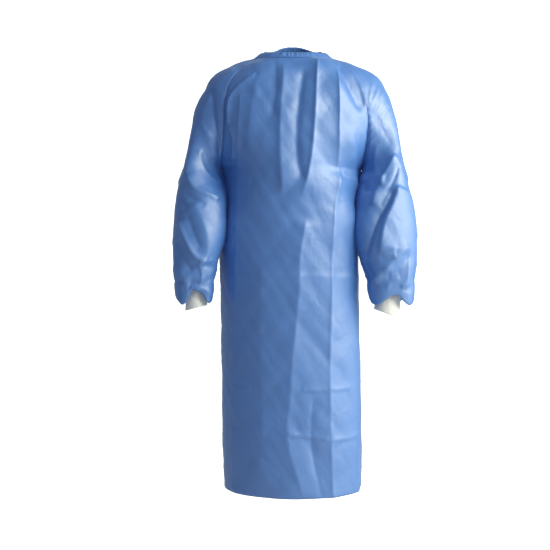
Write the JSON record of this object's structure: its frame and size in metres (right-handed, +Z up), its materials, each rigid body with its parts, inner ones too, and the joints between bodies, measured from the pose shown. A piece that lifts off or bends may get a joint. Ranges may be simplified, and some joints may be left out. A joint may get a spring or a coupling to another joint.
{
  "type": "surgical gown",
  "caption": "Long-sleeved surgical gown with raglan sleeves, knit cuffs, bound neck and overlapping back panels, filled out as worn but empty.",
  "frame": {"origin": "base of the neck of the empty gown, where the wearer's neck and shoulders hold it, 1.163 m above the hem", "axes": "+X towards the wearer's left, the front faces -Y, +Z up along the standing wearer"},
  "size_m": [0.6518, 0.3123, 1.2061],
  "materials": {
    "nonwoven_cloth": "soft satin nonwoven",
    "knit_cuff": "ribbed white knit",
    "hook_and_loop_tape": "matte woven tape"
  },
  "bodies": {
    "root": {"front_panel": "nonwoven_cloth", "back_panel_right": "nonwoven_cloth", "back_panel_left": "nonwoven_cloth", "sleeve_right": "nonwoven_cloth", "sleeve_left": "nonwoven_cloth", "neck_binding": "nonwoven_cloth", "waist_tie_right": "nonwoven_cloth", "waist_tie_left": "nonwoven_cloth", "cuff_right": "knit_cuff", "cuff_left": "knit_cuff", "neck_tab": "hook_and_loop_tape"}
  },
  "joints": []
}
